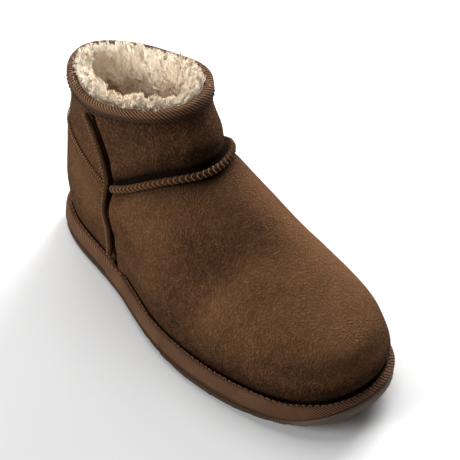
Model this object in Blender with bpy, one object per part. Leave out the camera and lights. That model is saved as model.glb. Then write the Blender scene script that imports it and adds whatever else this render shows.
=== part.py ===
"""Right-foot sheepskin ankle boot, fleece-lined, standing empty on its sole.

Metres, +Z up. The toe points to -Y, the outer (lateral) side of the foot is -X.
The origin is the middle of the heel's flat contact spot, on the floor.
"""
import math
from collections import namedtuple

import bmesh
import bpy
import numpy as np

# Driving sizes of the sole
SOLE_LENGTH = 0.262
HEEL_WIDTH = 0.0585
WAIST_WIDTH = 0.0662
BALL_WIDTH = 0.1029
TOE_WIDTH = 0.0961
HEEL_BEHIND = 0.034
PLATFORM_HEEL = 0.0183
PLATFORM_BALL = 0.0185
OUTSOLE_THICKNESS = 0.0050
LUG_DEPTH = 0.0020
ARCH_RISE = 0.0025
TOE_SPRING = 0.0105
HEEL_KICK = 0.0030
BUMPER_RISE = 0.0050
OUTSOLE_CHAMFER = 0.0018

# Driving sizes of the upper and its trim
BOOT_HEIGHT = 0.1456
COLLAR_WIDTH = 0.0692
COLLAR_SQUARE = 2.0
COLLAR_FULL_LATERAL = 0.12
COLLAR_FULL_MEDIAL = 0.41
UPPER_WALL = 0.0025
LEDGE_WIDTH = 0.0045
LEDGE_THICKNESS = 0.0025
FOXING_WALL = 0.0022
FOXING_SWELL = 0.0007
INSOLE_THICKNESS = 0.0050
FLEECE_DEPTH = 0.0075
BINDING_WIDTH = 0.0080
BINDING_THICKNESS = 0.0014
INSTEP_SEAM_SIZE = 0.0032
INSTEP_SEAM_WIDTH = 0.0050
SIDE_SEAM_SIZE = 0.0034
COUNTER_SEAM_SIZE = 0.0010
COUNTER_SEAM_WIDTH = 0.0024
PANEL_STEP = 0.0012
SEAM_CREASE = 0.0022
GAP = 0.0003

BINDING_INNER = 0.0045
FLEECE_BELOW_RIM = 0.0015
SEAM_LIFT = 0.0009
INSTEP_SEAM_LIFT = 0.0013
SIDE_SEAM_LIFT = 0.0013

# Tread: zigzag grooves across the sole, between flat rests under heel and ball
BALL_REST = HEEL_BEHIND - 0.66 * SOLE_LENGTH
REST_LENGTH = 0.020
GROOVE_PITCH = 0.0118
GROOVE_WIDTH = 0.0032
GROOVE_WAVE = 0.0050
GROOVE_STEP = 0.0144
GROOVE_ZIGZAGS = 4

# Mesh density: stations along each side of a ring, and the one that the side seams follow
STATIONS = 22
SEAM_STATION = 9
SEAM_CLEAR = 0.48
SIDE_SEAM_FOOT = 0.055

# Half section of a seam's ridge: share of its height, share of its width to one side
SEAM_SECTION = ((0.0, -0.42), (0.55, -0.50), (0.95, -0.28), (0.95, 0.28), (0.55, 0.50), (0.0, 0.42))

# Rows of wool locks round the mouth
LockRow = namedtuple("LockRow", "count below depth length thick upward stagger")
LOCK_ROWS = (
    LockRow(22, 0.0040, 0.60, 0.0100, 0.0046, 0.80, 0.0),
    LockRow(16, 0.0150, 0.62, 0.0090, 0.0050, 0.30, 0.5),
)
LOCK_SECTION = ((1.0, 0.0), (0.3, 0.9), (-0.8, 0.6), (-0.8, -0.6), (0.3, -0.9))

SHAFT_RISE = BOOT_HEIGHT - PLATFORM_HEEL - BINDING_THICKNESS - GAP
BINDING_FOOT = 1.0 - BINDING_WIDTH / SHAFT_RISE
BINDING_INNER_FOOT = 1.0 - BINDING_INNER / SHAFT_RISE

# Sole outline: share of the length from the back, full width, share of it on the lateral side
OutlineRow = namedtuple("OutlineRow", "share width lateral")
OUTLINE_ROWS = (
    OutlineRow(0.030, 0.48 * HEEL_WIDTH, 0.502),
    OutlineRow(0.120, 0.945 * HEEL_WIDTH, 0.474),
    OutlineRow(0.300, 1.00 * WAIST_WIDTH, 0.531),
    OutlineRow(0.500, 0.821 * BALL_WIDTH, 0.602),
    OutlineRow(0.680, 1.00 * BALL_WIDTH, 0.517),
    OutlineRow(0.840, 1.00 * TOE_WIDTH, 0.470),
    OutlineRow(0.950, 0.701 * TOE_WIDTH, 0.442),
)

# Rings of the upper from feather line to collar. Reaches are shares of SOLE_LENGTH from the
# sole's back end, rises are shares of SHAFT_RISE above the platform, spreads scale the sole's
# inner outline, round turns it into the collar's oval, seam is the side seam's reach.
RingRow = namedtuple(
    "RingRow", "name height back front back_rise side_rise front_rise spread round shift seam")
RING_ROWS = (
    RingRow("welt", 0.00, 0.0172, 0.9828, 0.000, 0.000, 0.000, 1.000, 0.00, 0.000, 0.288),
    RingRow("puff", 0.08, 0.0125, 0.9880, 0.073, 0.073, 0.073, 1.030, 0.00, 0.000, 0.288),
    RingRow("toe", 0.20, 0.0100, 0.9640, 0.165, 0.153, 0.154, 1.039, 0.04, 0.000, 0.289),
    RingRow("toe_top", 0.32, 0.0146, 0.9345, 0.285, 0.216, 0.232, 1.002, 0.10, 0.004, 0.291),
    RingRow("crown", 0.38, 0.0176, 0.8489, 0.350, 0.253, 0.301, 0.957, 0.17, 0.010, 0.291),
    RingRow("vamp", 0.44, 0.0202, 0.7346, 0.409, 0.297, 0.376, 0.914, 0.27, 0.019, 0.291),
    RingRow("instep", 0.54, 0.0231, 0.6286, 0.487, 0.384, 0.490, 0.872, 0.50, 0.032, 0.289),
    RingRow("junction", 0.62, 0.0260, 0.4832, 0.555, 0.476, 0.697, 0.730, 0.80, 0.040, 0.279),
    RingRow("ankle", 0.74, 0.0313, 0.4685, 0.682, 0.610, 0.813, 0.708, 0.93, 0.052, 0.250),
    RingRow("shaft", 0.88, 0.0393, 0.4364, 0.794, 0.779, 0.897, 0.737, 1.00, 0.058, 0.217),
    RingRow("collar", 1.00, 0.0474, 0.4200, 0.898, 0.907, 0.982, 0.797, 1.00, 0.059, 0.193),
)
RING_HEIGHTS = np.array([row.height for row in RING_ROWS])
JUNCTION_HEIGHT = next(row.height for row in RING_ROWS if row.name == "junction")
STEP_HEIGHT = JUNCTION_HEIGHT + 0.015


def ease(value):
    """Smooth step from 0 to 1."""
    value = np.clip(value, 0.0, 1.0)
    return value * value * (3.0 - 2.0 * value)


def steady_slopes(places, values):
    """Slopes for a smooth curve through values that never swings past them."""
    spans = np.diff(places)
    steps = np.diff(values) / spans
    slopes = np.zeros(len(values))
    slopes[0], slopes[-1] = steps[0], steps[-1]
    for i in range(1, len(values) - 1):
        if steps[i - 1] * steps[i] > 0:
            before, after = 2 * spans[i] + spans[i - 1], spans[i] + 2 * spans[i - 1]
            slopes[i] = (before + after) / (before / steps[i - 1] + after / steps[i])
    return slopes


def through_rows(height, column):
    """Value of one column of the ring table, smoothly through its rows."""
    values = np.array([getattr(row, column) for row in RING_ROWS])
    slopes = steady_slopes(RING_HEIGHTS, values)
    row = int(np.clip(np.searchsorted(RING_HEIGHTS, height, side="right") - 1, 0, len(RING_ROWS) - 2))
    span = RING_HEIGHTS[row + 1] - RING_HEIGHTS[row]
    part = (height - RING_HEIGHTS[row]) / span
    part2, part3 = part ** 2, part ** 3
    return ((2 * part3 - 3 * part2 + 1) * values[row] + (part3 - 2 * part2 + part) * span * slopes[row]
            + (3 * part2 - 2 * part3) * values[row + 1] + (part3 - part2) * span * slopes[row + 1])


def closed_curve(points, count):
    """Smooth closed curve through points, as count points even in the curve's own parameter."""
    points = np.asarray(points, float)
    steps = np.linalg.norm(np.roll(points, -1, axis=0) - points, axis=1)
    size = len(points)
    system = np.zeros((size, size))
    right = np.zeros((size, 2))
    for i in range(size):
        before, after = steps[i - 1], steps[i]
        system[i, (i - 1) % size] = after
        system[i, i] = 2.0 * (before + after)
        system[i, (i + 1) % size] = before
        right[i] = 3.0 * (after * (points[i] - points[i - 1]) / before
                          + before * (points[(i + 1) % size] - points[i]) / after)
    slopes = np.linalg.solve(system, right)
    knots = np.concatenate([[0.0], np.cumsum(steps)])
    curve = []
    for place in np.linspace(0.0, knots[-1], count, endpoint=False):
        i = min(int(np.searchsorted(knots, place, side="right")) - 1, size - 1)
        part = (place - knots[i]) / steps[i]
        part2, part3 = part ** 2, part ** 3
        after = (i + 1) % size
        start = (2 * part3 - 3 * part2 + 1) * points[i] + (part3 - 2 * part2 + part) * steps[i] * slopes[i]
        end = (3 * part2 - 2 * part3) * points[after] + (part3 - part2) * steps[i] * slopes[after]
        curve.append(start + end)
    return np.array(curve)


def sole_curve():
    """The sole's true outline, from the back end round the lateral side."""
    lateral = [(-row.width * row.lateral, HEEL_BEHIND - row.share * SOLE_LENGTH) for row in OUTLINE_ROWS]
    medial = [(row.width * (1 - row.lateral), HEEL_BEHIND - row.share * SOLE_LENGTH) for row in OUTLINE_ROWS]
    back, toe = (0.0, HEEL_BEHIND), (0.0, HEEL_BEHIND - SOLE_LENGTH)
    return closed_curve([back, *lateral, toe, *medial[::-1]], 720)


OUTLINE = sole_curve()


def inset_curve(inset):
    """The outline moved inwards by inset, square to itself."""
    along = np.roll(OUTLINE, -1, axis=0) - np.roll(OUTLINE, 1, axis=0)
    inward = np.stack([-along[:, 1], along[:, 0]], axis=1)
    inward /= np.linalg.norm(inward, axis=1)[:, None]
    if ((OUTLINE.mean(axis=0) - OUTLINE) * inward).sum() < 0:
        inward = -inward
    return OUTLINE + inset * inward


def side_reaches(inset, shares):
    """Y and the lateral and medial X of an inset outline at shares of its own length."""
    curve = inset_curve(inset)
    back, front = int(np.argmax(curve[:, 1])), int(np.argmin(curve[:, 1]))
    curve = np.roll(curve, -back, axis=0)
    front = (front - back) % len(curve)
    lateral, medial = curve[:front + 1], np.vstack([curve[front:], curve[:1]])[::-1]
    y = curve[0, 1] + shares * (curve[front, 1] - curve[0, 1])
    return (y, np.interp(-y, -lateral[:, 1], lateral[:, 0]), np.interp(-y, -medial[:, 1], medial[:, 0]))


def station_shares(seam_share):
    """Stations from back to front, closer near both ends, with the seam's one at seam_share."""
    places = np.arange(STATIONS + 1) / STATIONS
    seam_place = SEAM_STATION / STATIONS
    warp = (math.acos(1.0 - 2.0 * seam_share) / math.pi - seam_place) / math.sin(math.pi * seam_place)
    return (1.0 - np.cos(math.pi * (places + warp * np.sin(math.pi * places)))) / 2.0


def around(lateral, medial):
    """One ring from its lateral and medial halves, which share both end points."""
    return np.vstack([lateral, medial[-2:0:-1]])


def length_share(y):
    return np.clip((HEEL_BEHIND - y) / SOLE_LENGTH, 0.0, 1.0)


def underside(y):
    """Height of the sole's underside: heel, arch, ball and the sprung toe."""
    share = length_share(y)
    arch = ARCH_RISE * ease((share - 0.26) / 0.14) * ease((0.62 - share) / 0.14)
    toe = TOE_SPRING * np.clip((share - 0.70) / 0.30, 0.0, 1.0) ** 2
    kick = HEEL_KICK * np.clip((0.05 - share) / 0.05, 0.0, 1.0) ** 2
    return arch + toe + kick


def outsole_top(y):
    """Upper face of the outsole, which climbs in front of the toe as a bumper."""
    share = length_share(y)
    toe = TOE_SPRING * np.clip((share - 0.70) / 0.30, 0.0, 1.0) ** 2
    return OUTSOLE_THICKNESS + toe + BUMPER_RISE * ease((share - 0.945) / 0.045)


def platform_top(y):
    """Top of the taped platform, on which the upper's edge is sewn."""
    share = length_share(y)
    toe = TOE_SPRING * np.clip((share - 0.70) / 0.30, 0.0, 1.0) ** 2
    wedge = PLATFORM_HEEL + (PLATFORM_BALL - PLATFORM_HEEL) * ease((share - 0.2) / 0.5)
    return wedge + toe - 0.22 * PLATFORM_BALL * ease((share - 0.72) / 0.28)


def seam_share(height):
    """Share of a ring's own length at which the side seam crosses it."""
    back, front = through_rows(height, "back"), through_rows(height, "front")
    return (through_rows(height, "seam") - back) / (front - back)


def level(inset, height):
    """Ring of the sole's outline, inset, with its height worked out from Y."""
    y, lateral, medial = side_reaches(inset, station_shares(seam_share(0.0)))
    z = height(y)
    return around(np.stack([lateral, y, z], axis=1), np.stack([medial, y, z], axis=1))


def ring_halves(height):
    """Lateral and medial half of the upper's outer skin at one height, station by station."""
    shares = station_shares(seam_share(height))
    back = HEEL_BEHIND - through_rows(height, "back") * SOLE_LENGTH
    front = HEEL_BEHIND - through_rows(height, "front") * SOLE_LENGTH
    y = back + (front - back) * shares
    _, lateral, medial = side_reaches(LEDGE_WIDTH, shares)
    round_share = np.clip(through_rows(height, "round"), 0.0, 1.0)
    spread = through_rows(height, "spread")
    collar = 0.5 * COLLAR_WIDTH * spread / RING_ROWS[-1].spread
    shift = through_rows(height, "shift") * COLLAR_WIDTH
    rise = ring_rise(height, shares) * SHAFT_RISE
    halves = []
    for side, half, fullness in ((-1.0, lateral, COLLAR_FULL_LATERAL), (1.0, medial, COLLAR_FULL_MEDIAL)):
        warped = shares - fullness * shares * (1.0 - shares)
        oval = (1.0 - np.abs(2.0 * warped - 1.0) ** COLLAR_SQUARE) ** (1.0 / COLLAR_SQUARE)
        x = (1.0 - round_share) * half * spread + round_share * side * oval * collar + shift
        halves.append(np.stack([x, y, platform_top(y) + rise], axis=1))
    return halves


def ring_rise(height, shares):
    """Rise of a ring along its length: low at the side seam, higher at heel and front."""
    side = through_rows(height, "side_rise")
    seam = seam_share(height)
    to_back = ease((seam - shares) / seam) ** 0.9
    to_front = ease((shares - seam) / (1.0 - seam)) ** 0.9
    return (side + (through_rows(height, "back_rise") - side) * to_back
            + (through_rows(height, "front_rise") - side) * to_front)


def skin(heights, inward=0.0):
    """Grid of rings of the upper's skin, moved inwards square to the surface."""
    return np.array([skin_ring(height, inward) for height in heights])


def skin_ring(height, inward):
    small = 1e-3
    low, high = max(height - small, 0.0), min(height + small, 1.0)
    here = around(*ring_halves(height))
    up = around(*ring_halves(high)) - around(*ring_halves(low))
    along = np.roll(here, -1, axis=0) - np.roll(here, 1, axis=0)
    normal = np.cross(up, along)
    normal /= np.linalg.norm(normal, axis=1)[:, None]
    centre = here.mean(axis=0)
    if (normal * (here - centre))[:, :2].sum() < 0:
        normal = -normal
    return here + normal * (panel_relief(height, len(here)) - inward)[:, None]


def panel_relief(height, count):
    """Creases where the panels meet at the side seams, fading at welt and collar."""
    station = np.arange(count)
    from_seam = np.minimum(np.abs(station - SEAM_STATION), np.abs(station - (count - SEAM_STATION)))
    crease = np.where(from_seam == 0, 1.0, 0.0)
    fade = ease((height - 0.03) / 0.12) * ease((1.0 - height) / 0.15)
    below_step = ease((STEP_HEIGHT - height) / (STEP_HEIGHT - JUNCTION_HEIGHT))
    return PANEL_STEP * below_step * ease((height - 0.05) / 0.3) - SEAM_CREASE * crease * fade


def add_grid(mesh, grid, close_rings=False):
    """Triangles over a grid of rings, each ring closed on itself; returns the vertex rows."""
    rows = [[mesh.verts.new(point) for point in ring] for ring in grid]
    pairs = list(zip(rows[:-1], rows[1:]))
    if close_rings:
        pairs.append((rows[-1], rows[0]))
    for lower, upper in pairs:
        join_rows(mesh, lower, upper)
    return rows


def join_rows(mesh, lower, upper):
    """Triangles between two rings; the diagonal climbs the same way whichever comes first."""
    if sum(vert.co.z for vert in lower) > sum(vert.co.z for vert in upper):
        lower, upper = upper, lower
    for i in range(len(lower)):
        after = (i + 1) % len(lower)
        mesh.faces.new((lower[i], lower[after], upper[after]))
        mesh.faces.new((lower[i], upper[after], upper[i]))


def cap_across(mesh, ring):
    """Close a ring of the sole's kind with strips from its lateral to its medial half."""
    count = len(ring)
    half = count // 2
    for i in range(half):
        left, left_next = ring[i], ring[i + 1]
        right, right_next = ring[(count - i) % count], ring[count - i - 1]
        if i == 0:
            mesh.faces.new((left, left_next, right_next))
        elif i == half - 1:
            mesh.faces.new((left, left_next, right))
        else:
            mesh.faces.new((left, left_next, right_next, right))


def finish_object(name, mesh, colour, roughness=0.9):
    """Turn a bmesh into a named object with its own material."""
    bmesh.ops.recalc_face_normals(mesh, faces=mesh.faces)
    data = bpy.data.meshes.new(name)
    mesh.to_mesh(data)
    mesh.free()
    data.shade_smooth()
    data.set_sharp_from_angle(angle=math.radians(40.0))
    material = bpy.data.materials.new(name)
    material.use_nodes = True
    shader = material.node_tree.nodes["Principled BSDF"]
    shader.inputs["Base Color"].default_value = (*colour, 1.0)
    shader.inputs["Roughness"].default_value = roughness
    shader.inputs["Metallic"].default_value = 0.0
    data.materials.append(material)
    thing = bpy.data.objects.new(name, data)
    bpy.context.collection.objects.link(thing)
    return thing


def slab(name, levels, colour):
    """Closed solid from levels of the sole's outline, capped below and above."""
    mesh = bmesh.new()
    rows = add_grid(mesh, levels)
    cap_across(mesh, rows[0])
    cap_across(mesh, rows[-1])
    return finish_object(name, mesh, colour)


def ring_solid(name, sections, colour):
    """Closed band whose section runs round: a list of rings, the last joined to the first."""
    mesh = bmesh.new()
    add_grid(mesh, sections, close_rings=True)
    return finish_object(name, mesh, colour)


def groove_cutter():
    """Zigzag bars across the tread, which leave out the flat rests under heel and ball."""
    mesh = bmesh.new()
    steps = np.arange(-GROOVE_ZIGZAGS, GROOVE_ZIGZAGS + 1)
    count = int((SOLE_LENGTH - 2 * GROOVE_PITCH) / GROOVE_PITCH)
    for number in range(1, count + 2):
        middle = HEEL_BEHIND - number * GROOVE_PITCH
        if min(abs(middle), abs(middle - BALL_REST)) < 0.5 * (REST_LENGTH + GROOVE_WIDTH):
            continue
        loops = []
        for side in (-0.5, 0.5):
            y = middle + side * GROOVE_WIDTH + np.where(steps % 2 == 0, 0.5, -0.5) * GROOVE_WAVE
            x = steps * GROOVE_STEP
            ceiling = np.stack([x, y, underside(y) + LUG_DEPTH], axis=1)
            loops.append((ceiling, ceiling * (1, 1, 0) - (0, 0, 2 * LUG_DEPTH)))
        (back_top, back_low), (front_top, front_low) = loops
        add_bar(mesh, np.array([back_low, back_top, front_top, front_low]))
    cutter = finish_object("groove_cutter", mesh, (0.5, 0.5, 0.5))
    cutter.hide_render = True
    cutter.display_type = "WIRE"
    return cutter


def add_bar(mesh, rails):
    """Closed bar between rails that run side by side, capped at both ends."""
    rows = [[mesh.verts.new(point) for point in rail] for rail in rails]
    for rail, beside in zip(rows, rows[1:] + rows[:1]):
        for i in range(len(rail) - 1):
            mesh.faces.new((rail[i], rail[i + 1], beside[i + 1]))
            mesh.faces.new((rail[i], beside[i + 1], beside[i]))
    mesh.faces.new([row[0] for row in rows])
    mesh.faces.new([row[-1] for row in rows[::-1]])


def make_outsole():
    """Rubber outsole with a chamfered lower edge and lugs between zigzag grooves."""
    levels = (
        level(OUTSOLE_CHAMFER, underside),
        level(0.0, lambda y: underside(y) + OUTSOLE_CHAMFER),
        level(0.0, outsole_top),
        level(FOXING_WALL, outsole_top),
    )
    outsole = slab("outsole", levels, (0.045, 0.030, 0.020))
    grooves = outsole.modifiers.new("grooves", "BOOLEAN")
    grooves.operation = "DIFFERENCE"
    grooves.solver = "EXACT"
    grooves.object = groove_cutter()
    return outsole


def make_midsole():
    inset = FOXING_WALL + GAP
    levels = (
        level(inset, lambda y: outsole_top(y) + GAP),
        level(inset, lambda y: platform_top(y) - LEDGE_THICKNESS - GAP),
    )
    return slab("midsole", levels, (0.30, 0.25, 0.20))


def make_foxing_band():
    """Twill-covered band round the platform, turned in over its edge to the upper."""
    inner = LEDGE_WIDTH - GAP

    def above_outsole(part):
        return lambda y: (outsole_top(y) + GAP) * (1 - part) + platform_top(y) * part

    def below_top(drop):
        return lambda y: platform_top(y) - drop

    sections = (
        level(0.0, above_outsole(0.0)),
        level(FOXING_WALL, above_outsole(0.0)),
        level(FOXING_WALL, below_top(LEDGE_THICKNESS)),
        level(inner, below_top(LEDGE_THICKNESS)),
        level(inner, below_top(0.15 * LEDGE_THICKNESS)),
        level(0.45 * LEDGE_WIDTH, below_top(0.0)),
        level(0.15 * LEDGE_WIDTH, below_top(0.4 * LEDGE_THICKNESS)),
        level(-FOXING_SWELL, above_outsole(0.45)),
    )
    return ring_solid("foxing_band", sections, (0.13, 0.07, 0.04))


OUTER_RINGS = np.array([0.0, 0.04, 0.08, 0.13, 0.18, 0.24, 0.30, 0.36, 0.42, 0.48, 0.54,
                        0.59, JUNCTION_HEIGHT, STEP_HEIGHT, 0.68, 0.74, 0.81, 0.88, BINDING_FOOT, 1.0])
INNER_RINGS = np.array([0.0, 0.06, 0.12, 0.18, 0.24, 0.31, 0.39, 0.47, 0.55,
                        JUNCTION_HEIGHT, 0.73, 0.87, BINDING_INNER_FOOT, 1.0])
FLEECE_RINGS = (0.90, 0.77, 0.64, 0.52, 0.41, 0.30, 0.19, 0.09)


def stock_ring(height, inward):
    """Ring of the wall at one of its own heights; at the collar all offsets share the rim's Z."""
    ring = skin_ring(height, inward)
    if height == OUTER_RINGS[-1]:
        ring[:, 2] = skin_ring(height, 0.0)[:, 2]
    return ring


def wall_ring(height, inward):
    """Ring on the flat facets of the wall, between the two of its own rings that bound height."""
    rings = OUTER_RINGS if inward < 0 else INNER_RINGS
    after = int(np.clip(np.searchsorted(rings, height), 1, len(rings) - 1))
    low, high = rings[after - 1], rings[after]
    part = (height - low) / (high - low)
    return stock_ring(low, inward) * (1 - part) + stock_ring(high, inward) * part


def feather_height(y):
    return platform_top(y) - LEDGE_THICKNESS


def make_upper():
    """Sheepskin upper: one hollow wall, open at the collar and underneath."""
    outer = skin(OUTER_RINGS)
    inner = skin(INNER_RINGS, inward=UPPER_WALL)
    inner[-1, :, 2] = outer[-1, :, 2]
    mesh = bmesh.new()
    bottom_outer, bottom_inner = outer[0].copy(), inner[0].copy()
    for ring in (bottom_outer, bottom_inner):
        ring[:, 2] = feather_height(bottom_outer[:, 1])
    sections = np.vstack([[bottom_outer], outer, inner[::-1], [bottom_inner]])
    add_grid(mesh, sections, close_rings=True)
    return finish_object("upper", mesh, (0.12, 0.065, 0.035))


def on_ring(ring, station):
    """Point of a ring at a station that may lie between two of its corners."""
    before = int(math.floor(station))
    part = station - before
    return ring[before % len(ring)] * (1 - part) + ring[(before + 1) % len(ring)] * part


def even_stations(ring, count, stagger):
    """Stations of a ring at even steps of its own length."""
    steps = np.linalg.norm(np.roll(ring, -1, axis=0) - ring, axis=1)
    walk = np.concatenate([[0.0], np.cumsum(steps)])
    return np.interp((np.arange(count) + stagger) / count * walk[-1], walk, np.arange(len(ring) + 1))


def seam_solid(name, feet, tops, across, width, colour):
    """Ridge whose rounded section stands on feet and reaches tops, width wide along across."""
    mesh = bmesh.new()
    across = across / np.linalg.norm(across, axis=1)[:, None]
    rails = []
    for height, half in SEAM_SECTION:
        rails.append(feet * (1 - height) + tops * height + across * half * width)
    add_bar(mesh, np.array(rails))
    return finish_object(name, mesh, colour)


def seam_along_ring(name, stations, size, width, lift, colour):
    """Seam that follows the upper's junction ring from station to station."""
    low = skin_ring(JUNCTION_HEIGHT, -lift)
    high = skin_ring(JUNCTION_HEIGHT, -lift - size)
    feet = np.array([on_ring(low, station) for station in stations])
    tops = np.array([on_ring(high, station) for station in stations])
    across = np.cross(np.gradient(feet, axis=0), tops - feet)
    return seam_solid(name, feet, tops, across, width, colour)


def seam_up_side(name, station, size, colour):
    """Seam that climbs the side from the platform to the binding."""
    between = OUTER_RINGS[(OUTER_RINGS > SIDE_SEAM_FOOT) & (OUTER_RINGS < BINDING_FOOT)]
    heights = [SIDE_SEAM_FOOT, *between, BINDING_FOOT - 3 * GAP / SHAFT_RISE]
    feet = np.array([wall_ring(height, -SIDE_SEAM_LIFT)[station] for height in heights])
    tops = np.array([wall_ring(height, -SIDE_SEAM_LIFT - size)[station] for height in heights])
    across = np.cross(np.gradient(feet, axis=0), tops - feet)
    return seam_solid(name, feet, tops, across, size, colour)


def make_seams():
    """Raised instep seam, flat counter seam and the two standing side seams."""
    brown = (0.10, 0.055, 0.030)
    count = 2 * STATIONS
    medial = count - SEAM_STATION
    front = [SEAM_STATION + SEAM_CLEAR, *range(SEAM_STATION + 1, medial), medial - SEAM_CLEAR]
    back = [medial + SEAM_CLEAR, *range(medial + 1, count + SEAM_STATION), count + SEAM_STATION - SEAM_CLEAR]
    seam_along_ring("instep_seam", front, INSTEP_SEAM_SIZE, INSTEP_SEAM_WIDTH, INSTEP_SEAM_LIFT, brown)
    seam_along_ring("counter_seam", back, COUNTER_SEAM_SIZE, COUNTER_SEAM_WIDTH, SEAM_LIFT, brown)
    seam_up_side("side_seam_lateral", SEAM_STATION, SIDE_SEAM_SIZE, brown)
    seam_up_side("side_seam_medial", medial, SIDE_SEAM_SIZE, brown)


def make_binding():
    """Twill tape folded over the collar: an outer leg, a rounded top and a short inner leg."""
    thick = BINDING_THICKNESS
    inside = UPPER_WALL + GAP

    def at_rim(inward, above):
        return stock_ring(1.0, inward) + (0.0, 0.0, above)

    sections = [
        wall_ring(BINDING_FOOT, -GAP),
        wall_ring(BINDING_FOOT, -GAP - thick),
        at_rim(-GAP - thick, 0.0),
        at_rim(-GAP - 0.4 * thick, GAP + 0.7 * thick),
        at_rim(0.5 * UPPER_WALL, GAP + thick),
        at_rim(inside + 0.4 * thick, GAP + 0.7 * thick),
        at_rim(inside + thick, 0.0),
        wall_ring(BINDING_INNER_FOOT, inside + thick),
        wall_ring(BINDING_INNER_FOOT, inside),
        at_rim(inside, GAP),
        at_rim(-GAP, GAP),
    ]
    return ring_solid("collar_binding", sections, (0.22, 0.115, 0.065))


def make_insole():
    inset = LEDGE_WIDTH + UPPER_WALL + GAP
    levels = (
        level(inset, feather_height),
        level(inset, insole_top),
    )
    return slab("insole", levels, (0.72, 0.62, 0.48))


def insole_top(y):
    return feather_height(y) + INSOLE_THICKNESS


def fleece_depth(count):
    """Depth of the fleece at each station of a ring: thinner in the tight curve behind the heel."""
    station = np.arange(count)
    return FLEECE_DEPTH * (0.55 + 0.45 * ease(np.minimum(station, count - station) / 4.0))


def make_fleece_lining():
    """Fleece sleeve from the insole to the collar, with locks fused on round its mouth."""
    outside = UPPER_WALL + GAP
    under_tape = 2 * GAP + UPPER_WALL + BINDING_THICKNESS
    top = 1.0 - FLEECE_BELOW_RIM / SHAFT_RISE
    leg = 1.0 - (BINDING_INNER + GAP) / SHAFT_RISE
    foot = skin_ring(0.0, outside)
    foot[:, 2] = insole_top(foot[:, 1]) + GAP
    outer = [foot] + [wall_ring(height, outside) for height in INNER_RINGS[1:-2]]
    outer += [wall_ring(leg, under_tape), wall_ring(top, under_tape)]
    deep = outside + fleece_depth(len(foot))
    inner_foot = skin_ring(0.0, deep)
    inner_foot[:, 2] = foot[:, 2]
    inner = [wall_ring(top, under_tape + 0.75 * FLEECE_DEPTH)]
    inner += [skin_ring(height, deep) for height in FLEECE_RINGS]
    inner += [inner_foot]
    mesh = bmesh.new()
    add_grid(mesh, outer + inner, close_rings=True)
    lining = finish_object("fleece_lining", mesh, (0.76, 0.66, 0.52))
    fuse = lining.modifiers.new("locks", "BOOLEAN")
    fuse.operation = "UNION"
    fuse.solver = "EXACT"
    fuse.object = fleece_locks(top)
    return lining


def fleece_locks(top):
    """Bent, tapering locks of wool in staggered rows round the mouth."""
    mesh = bmesh.new()
    for row in LOCK_ROWS:
        base = skin_ring(top - row.below / SHAFT_RISE, UPPER_WALL + row.depth * FLEECE_DEPTH)
        further = skin_ring(top - row.below / SHAFT_RISE, UPPER_WALL + (row.depth + 0.5) * FLEECE_DEPTH)
        for number, station in enumerate(even_stations(base, row.count, row.stagger)):
            root = on_ring(base, station)
            inward = on_ring(further, station) - root
            inward /= np.linalg.norm(inward)
            along = on_ring(base, station + 0.5) - on_ring(base, station - 0.5)
            along /= np.linalg.norm(along)
            sway = math.sin(2.4 * number + row.stagger * 5.0)
            length = row.length * (1.0 + 0.3 * math.sin(1.7 * number))
            rise = np.array([0.0, 0.0, 1.0])
            places = []
            for part, size in ((0.0, 1.0), (0.55, 0.85)):
                middle = root + length * part * (rise * row.upward + inward * (1 - row.upward) * (0.4 + part))
                middle += along * sway * 0.15 * length * part ** 2
                half = 0.5 * row.thick * size
                places.append([middle + half * (a * along * 1.2 + b * inward) for a, b in LOCK_SECTION])
            tip = root + length * (rise * row.upward + inward * (1 - row.upward) + along * sway * 0.15)
            add_lock(mesh, places, tip)
    locks = finish_object("lock_cutter", mesh, (0.76, 0.66, 0.52))
    locks.hide_render = True
    locks.display_type = "WIRE"
    return locks


def add_lock(mesh, places, tip):
    rows = [[mesh.verts.new(point) for point in ring] for ring in places]
    for lower, upper in zip(rows[:-1], rows[1:]):
        join_rows(mesh, lower, upper)
    point = mesh.verts.new(tip)
    for i, corner in enumerate(rows[-1]):
        mesh.faces.new((corner, rows[-1][(i + 1) % len(rows[-1])], point))
    mesh.faces.new(rows[0][::-1])


def main():
    for thing in list(bpy.data.objects):
        bpy.data.objects.remove(thing, do_unlink=True)
    make_outsole()
    make_midsole()
    make_foxing_band()
    make_upper()
    make_insole()
    make_seams()
    make_binding()
    make_fleece_lining()


main()
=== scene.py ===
"""Looks of a right-foot sheepskin ankle boot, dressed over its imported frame.

Metres, +Z up. The toe points to -Y, the lateral side is -X, the heel stands on the origin.
"""
import math
from collections import namedtuple

import bmesh
import bpy
import numpy as np
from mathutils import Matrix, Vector
from mathutils.bvhtree import BVHTree


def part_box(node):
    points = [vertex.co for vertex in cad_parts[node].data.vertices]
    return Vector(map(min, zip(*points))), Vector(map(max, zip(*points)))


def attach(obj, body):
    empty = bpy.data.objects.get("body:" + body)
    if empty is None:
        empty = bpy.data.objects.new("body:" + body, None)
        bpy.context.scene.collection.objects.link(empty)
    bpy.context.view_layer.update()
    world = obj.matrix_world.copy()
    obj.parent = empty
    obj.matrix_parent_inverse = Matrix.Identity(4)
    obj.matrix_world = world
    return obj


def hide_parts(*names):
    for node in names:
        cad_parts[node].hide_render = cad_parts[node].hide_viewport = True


bl_info = {
    "name": "Sheepskin ankle boot",
    "version": (1, 0, 0),
    "blender": (4, 5, 0),
    "location": "3D View > Sidebar > Boot",
    "description": "Suede, wool, twill tape, rubber and stitching for a packed ankle boot",
    "category": "Add Mesh",
}

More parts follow.
